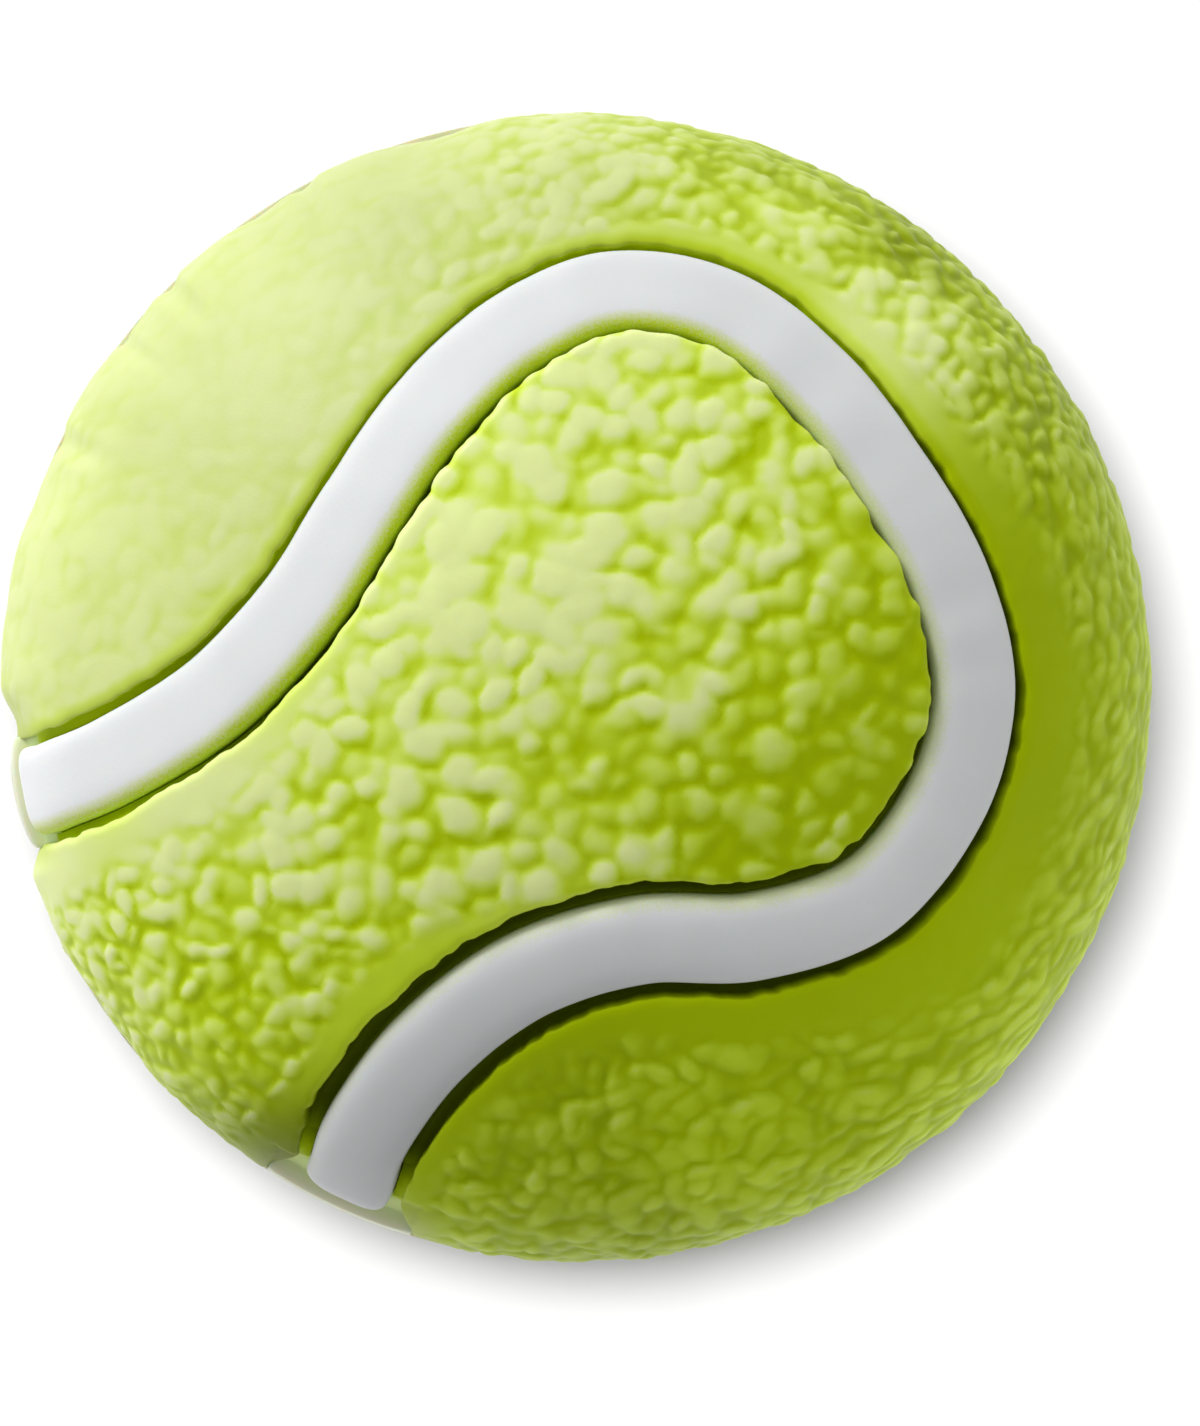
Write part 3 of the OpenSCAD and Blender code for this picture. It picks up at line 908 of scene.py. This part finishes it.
def lip_section(inner, wider, floor, side_depth, fall):
    """A lip's section: round sides as far in as inner, and a floor from a point, given by its
    distance across and its depth."""
    half_w = HALF_STRIP + LIP_IN_CREVICE * CREVICE_W + wider + LIP_BITE
    bottom = BOND_GAP - CREVICE_DEPTH
    shares = np.sin(np.linspace(math.pi / 2, 0, ROUND_STEPS))
    across = inner + (half_w - inner) * shares
    bend = across**2 / (2 * BALL_R)
    side = np.column_stack([
        across, -side_depth - bend - fall * (1 - np.sqrt(1 - shares**2)),
    ])
    half = np.vstack([side, [[floor[0], -floor[1]]]])
    return np.vstack([[[-half_w, bottom], [half_w, bottom]], half, half[::-1] * (-1, 1)])


def make_lip(name, rib_end, top_depth, fall, widest, corner_r):
    """A lip that stands up from the backing in one end of the channel, round the strip's tip. Its
    arms beside the strip come up out of the crevices."""
    to_back = DOME_L + WALL_TOP - np.linalg.norm(rib_end)
    arm, corner, rise, rest = LIP_STEPS
    beside = np.append(tip_steps(corner_r, LIP_START, arm, corner), TIP_L + BOND_GAP)
    rise_start = TIP_L + 2 * BOND_GAP
    rise_stop = rise_start + LIP_RISE_L
    past_tip = np.concatenate([
        np.linspace(rise_start, rise_stop, rise),
        np.linspace(rise_stop, to_back - LIP_SHORT, rest)[1:],
    ])
    sections = [
        lip_section(half, wider, (half, SEAT_DEPTH), LIP_SIDE_DEPTH, 0)
        for half, wider in zip(tip_half_width(beside, corner_r), flare(beside, widest))
    ]
    shares = smoothstep(rise_start, rise_stop, past_tip)
    for share, wider in zip(shares, flare(past_tip, widest)):
        depth = LIP_SIDE_DEPTH + (top_depth - LIP_SIDE_DEPTH) * share
        middle = (LIP_MIDDLE / 2, depth)
        sections.append(lip_section(LIP_MIDDLE, wider, middle, depth, fall * share))
    path = past(rib_end, np.concatenate([beside, past_tip]))
    return sweep(name, path, np.array(sections), LIP_HUB_DEPTH)


def notch(obj):
    """Draws the outer edge of the backing in where the rim has its notches."""
    for vertex in obj.data.vertices:
        across = math.hypot(vertex.co.x, vertex.co.y) / MM
        if across < BACKING_R - 2 * BACKING_EDGE_R:
            continue
        direction = math.degrees(math.atan2(vertex.co.y, vertex.co.x)) % 360
        for middle, half_width, depth in NOTCHES:
            bend = 1 - smoothstep(0, half_width, abs(direction - middle))
            vertex.co.xy *= 1 - depth * bend / across


def make_backing():
    """The pale backing: a flat ring with a rounded lower edge, joined to its two lips."""
    angles = np.linspace(math.pi * 1.5, math.pi * 2, ROUND_STEPS)
    edge = np.column_stack([
        BACKING_R - BACKING_EDGE_R * (1 - np.cos(angles)),
        BACKING_EDGE_R * (1 + np.sin(angles)),
    ])
    outline = [[NECK_HOLE_R, 0], *edge, [BACKING_R, BACKING_T], [NECK_HOLE_R, BACKING_T]]
    points = [[*(way * across), up] for way in circle(RING_TURNS) for across, up in outline]
    faces = skin(len(RING_TURNS), len(outline), closed=True)
    backing = make_solid(add_mesh("backing", points, faces))
    notch(backing)
    names = ("lip_a", "lip_b")
    for name, *shape in zip(names, rib_ends, LIP_DEPTHS, LIP_FALLS, MOUTH_FLARES, TIP_CORNER_RS):
        lip = make_lip(name, *shape)
        join = backing.modifiers.new(name, "BOOLEAN")
        join.operation = "UNION"
        join.solver = "EXACT"
        join.object = lip
        bpy.context.view_layer.update()
        shown = backing.evaluated_get(bpy.context.evaluated_depsgraph_get())
        backing.data = bpy.data.meshes.new_from_object(shown)
        backing.modifiers.clear()
        bpy.data.objects.remove(lip)
    backing.data.set_sharp_from_angle(angle=SHARP_ANGLE)
    return backing


def set_inputs(tree, node, inputs):
    """Links a node's inputs, given by name or number, to sockets, or gives them plain values."""
    for key, value in inputs.items():
        if isinstance(value, bpy.types.NodeSocket):
            tree.links.new(value, node.inputs[key])
        else:
            node.inputs[key].default_value = value


def new_material(name, **settings):
    """A material, its node tree and its shader, with the shader's settings."""
    material = bpy.data.materials.new(name)
    material.use_nodes = True
    tree = material.node_tree
    shader = tree.nodes["Principled BSDF"]
    set_inputs(tree, shader, {key.replace("_", " "): value for key, value in settings.items()})
    return material, tree, shader


def add_node(tree, kind, inputs, **settings):
    """The outputs of a new shader node of a kind, with these inputs and settings."""
    node = tree.nodes.new("ShaderNode" + kind)
    for key, value in settings.items():
        setattr(node, key, value)
    set_inputs(tree, node, inputs)
    return node.outputs


def grain(tree, size, detail=3.0):
    """A noise of a size in millimetres that stays with the object."""
    place = add_node(tree, "TexCoord", {})["Object"]
    inputs = {"Vector": place, "Scale": 1 / (size * MM), "Detail": detail}
    return add_node(tree, "TexNoise", inputs)["Fac"]


def bumped(tree, size, height):
    """Normals of a fine relief of a size and height in millimetres."""
    inputs = {"Height": grain(tree, size), "Strength": 1, "Distance": height * MM}
    return add_node(tree, "Bump", inputs)["Normal"]


def attribute(tree, name):
    """A mesh's own float attribute."""
    return add_node(tree, "Attribute", {}, attribute_name=name)["Fac"]


def ranged(tree, value, *ends):
    """A linked value mapped from one range to another, each given by its two ends."""
    return add_node(tree, "MapRange", dict(enumerate((value, *ends))))["Result"]


def calculated(tree, operation, first, second, **settings):
    """The result of a math node."""
    inputs = {0: first, 1: second}
    return add_node(tree, "Math", inputs, operation=operation, **settings)["Value"]


def shifted(tree, value, grains, amount):
    """A linked value moved up and down by a noise, kept between 0 and 1."""
    shift = ranged(tree, grains, 0, 1, -amount, amount)
    return calculated(tree, "ADD", value, shift, use_clamp=True)


def ramp(tree, factor, stops):
    """A colour ramp over a linked factor, from stops of (place, colour)."""
    node = tree.nodes.new("ShaderNodeValToRGB")
    elements = node.color_ramp.elements
    while len(elements) < len(stops):
        elements.new(0.5)
    for element, (place, colour) in zip(elements, stops):
        element.position = place
        element.color = colour
    set_inputs(tree, node, {"Fac": factor})
    return node.outputs["Color"]


def blended(tree, kind, factor, first, second):
    """Two colours mixed by a factor. Each of the three is a socket or a plain value."""
    inputs = {0: factor, 1: first, 2: second}
    return add_node(tree, "MixRGB", inputs, blend_type=kind)["Color"]


def cover_material():
    """Soft green moulding: saturated in the hollows and paler on the pebbles' tops by a painted
    sheen, darker by painted shade in the channel and the creases, and pale beside the lips."""
    material, tree, shader = new_material(
        "cover_green", Roughness=0.48, Specular_IOR_Level=0.3, Subsurface_Weight=0.3,
        Subsurface_Scale=0.35 * MM, Subsurface_Radius=(1.0, 0.9, 0.2),
    )
    value = shifted(tree, attribute(tree, "pale"), grain(tree, size=1.3), amount=0.06)
    colour = ramp(tree, value, [
        (0.0, GREEN_DEEP), (0.35, GREEN_MIDDLE), (0.7, GREEN_PAINTED_HALF_SHEEN), (1.0, GREEN_PAINTED_SHEEN),
    ])
    sheen = ramp(tree, value, [(0.0, GREEN_SHEEN), (0.7, WHITE)])
    # Painted shade in the channel and beside the crevices
    shade = ramp(tree, attribute(tree, "open"), [(0.0, PAINTED_CHANNEL_SHADE), (1.0, WHITE)])
    colour = blended(tree, "MIX", attribute(tree, "clear"), colour, GREEN_WEB)
    colour = blended(tree, "MULTIPLY", 1.0, colour, shade)
    # Painted light and shade: brighter or darker by region and by the pebbles' height
    colour = blended(tree, "MULTIPLY", 1.0, colour, attribute(tree, "bright"))
    normals = bumped(tree, size=0.07, height=0.003)
    set_inputs(tree, shader, {"Base Color": colour, "Specular Tint": sheen, "Normal": normals})
    return material


def strip_material():
    """White moulding whose flank beside the tongue fades into the green, in fine grains. Its white
    is lighter or darker along and across it by painted light and shade.
    """
    material, tree, shader = new_material(
        "seam_white", Roughness=0.55, Specular_IOR_Level=0.25, Subsurface_Weight=0.15,
        Subsurface_Scale=0.3 * MM,
    )
    fine = grain(tree, size=0.05, detail=0.0)
    colour = ramp(tree, shifted(tree, attribute(tree, "tint"), fine, amount=0.16), [
        (0.25, STRIP_WHITE), (0.7, STRIP_TINT), (1.0, STRIP_GREEN),
    ])
    # Painted light and shade on the white, along and across the strip
    colour = blended(tree, "MULTIPLY", 1.0, colour, attribute(tree, "bright"))
    normals = bumped(tree, size=0.09, height=0.004)
    set_inputs(tree, shader, {"Base Color": colour, "Normal": normals})
    return material


def pale_material(name, low, high, roughness):
    """Pale, slightly clear moulding with a faint cloudiness."""
    material, tree, shader = new_material(
        name, Roughness=roughness, Subsurface_Weight=0.4, Subsurface_Scale=0.6 * MM,
    )
    colour = ramp(tree, grain(tree, size=2.5), [(0.3, low), (0.7, high)])
    normals = bumped(tree, size=0.12, height=0.004)
    set_inputs(tree, shader, {"Base Color": colour, "Normal": normals})
    return material, tree, shader, colour


def backing_material():
    """The backing's pale moulding, which takes a green tint up its lips and is green where they
    come up out of the crevices."""
    material, tree, shader, colour = pale_material("backing_pale", BACKING_LOW, BACKING_HIGH, 0.4)
    place = add_node(tree, "TexCoord", {})["Object"]
    height = add_node(tree, "SeparateXYZ", {0: place})["Z"]
    up = ranged(tree, height, BACKING_T * MM, WALL_TOP * MM)
    flat = add_node(tree, "VectorMath", {0: place, 1: (1, 1, 0)}, operation="MULTIPLY")
    reach = add_node(tree, "VectorMath", {0: flat["Vector"]}, operation="LENGTH")["Value"]
    past_green = ranged(tree, reach, *(radius * MM for radius in LIP_GREEN_R))
    tint = blended(tree, "MIX", past_green, GREEN_DEEP, LIP_TINT)
    colour = blended(tree, "MIX", up, colour, tint)
    set_inputs(tree, shader, {"Base Color": colour})
    return material


def ray_kinds(tree):
    """Whether a ray comes from gloss or glass, and whether from the camera."""
    path = add_node(tree, "LightPath", {})
    gloss = calculated(tree, "MAXIMUM", path["Is Glossy Ray"], path["Is Transmission Ray"])
    return gloss, path["Is Camera Ray"]


def make_floor():
    """A pale floor under the button, white where no shadow falls."""
    corners = ((-1, -1), (1, -1), (1, 1), (-1, 1))
    points = [[x * FLOOR_REACH, y * FLOOR_REACH, FLOOR_Z] for x, y in corners]
    floor = add_mesh("floor", points, [[0, 1, 2, 3]])
    material, tree, shader = new_material("floor_white")
    tree.nodes.remove(shader)
    shade = add_node(tree, "BsdfDiffuse", {"Color": FLOOR_COLOUR})["BSDF"]
    from_gloss, from_camera = ray_kinds(tree)
    seen = calculated(tree, "MAXIMUM", from_camera, from_gloss)
    strength = calculated(tree, "MULTIPLY", seen, FLOOR_GLOW)
    glow = add_node(tree, "Emission", {"Strength": strength})["Emission"]
    both = add_node(tree, "AddShader", {0: shade, 1: glow})["Shader"]
    set_inputs(tree, tree.nodes["Material Output"], {"Surface": both})
    floor.data.materials.append(material)
    return floor


def make_world():
    """Soft light from all round. The camera sees it as white, and so does gloss near the horizon,
    where the backdrop stands."""
    world = bpy.data.worlds.new("surroundings")
    bpy.context.scene.world = world
    world.use_nodes = True
    tree = world.node_tree
    way = add_node(tree, "TexCoord", {})["Generated"]
    part = add_node(tree, "SeparateXYZ", {0: way})
    backdrop = ranged(tree, part["Z"], BACKDROP_TOP, BACKDROP_FOOT)
    from_gloss, from_camera = ray_kinds(tree)
    seen = calculated(tree, "MULTIPLY", from_gloss, backdrop)
    seen = calculated(tree, "MAXIMUM", from_camera, seen)
    ambient = ranged(tree, part["Y"], -1, 1, AMBIENT_NEAR, AMBIENT_FAR)
    strength = ranged(tree, seen, 0, 1, ambient, 1)
    set_inputs(tree, tree.nodes["Background"], {"Color": WHITE, "Strength": strength})


def add_lamp(name, obj, lit, direction, height, level, width):
    """A distant soft lamp from a direction and a height, both in degrees. A level of 1 lights a
    white surface that faces it to white. Lights only the object, or if not lit all but it."""
    data = bpy.data.lights.new(name, "SUN")
    data.energy = level * math.pi
    data.angle = math.radians(width)
    lamp = add_object(name, data)
    a, e = math.radians(direction), math.radians(height)
    toward = Vector((math.cos(a) * math.cos(e), math.sin(a) * math.cos(e), math.sin(e)))
    lamp.rotation_mode = "QUATERNION"
    lamp.rotation_quaternion = toward.to_track_quat("Z", "Y")
    lamp.location = toward * LAMP_DISTANCE * MM
    chosen = bpy.data.collections.new(name + "_lights")
    lamp.light_linking.receiver_collection = chosen
    chosen.objects.link(obj)
    chosen.collection_objects[0].light_linking.link_state = "INCLUDE" if lit else "EXCLUDE"


def make_camera():
    """A long lens above the face, framed as the photograph is."""
    data = bpy.data.cameras.new("camera")
    data.sensor_width = SENSOR_WIDTH
    px_per_mm = OUTLINE_RADIUS_PX / OUTLINE_RADIUS
    frame_height = PHOTO_SIZE[1] / px_per_mm
    data.lens = SENSOR_WIDTH * CAMERA_DISTANCE / frame_height
    data.clip_start = CLIP_START * MM
    camera = add_object("camera", data)
    x, y = ((size / 2 - at) / px_per_mm for size, at in zip(PHOTO_SIZE, BALL_CENTRE_PX))
    camera.location = Vector((x, -y, WALL_TOP + CAMERA_DISTANCE)) * MM
    bpy.context.scene.camera = camera


cover = make_solid(make_cover())
cover.data.materials.append(cover_material())
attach(cover, "root")
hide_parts("ball_cover")

strip = make_strip()
strip.data.materials.append(strip_material())
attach(strip, "root")
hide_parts("seam_strip")

backing = make_backing()
backing.data.materials.clear()
backing.data.materials.append(backing_material())
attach(backing, "root")
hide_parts("backing_disc")

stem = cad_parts["stem_button"]
stem.data.materials.clear()
stem.data.materials.append(pale_material("stem_pale", STEM_LOW, STEM_HIGH, 0.45)[0])

floor = make_floor()
make_world()
add_lamp("key", floor, False, *KEY_LAMP)
add_lamp("floor_lamp", floor, True, *FLOOR_LAMP)
make_camera()
bpy.context.scene.view_settings.view_transform = "Standard"
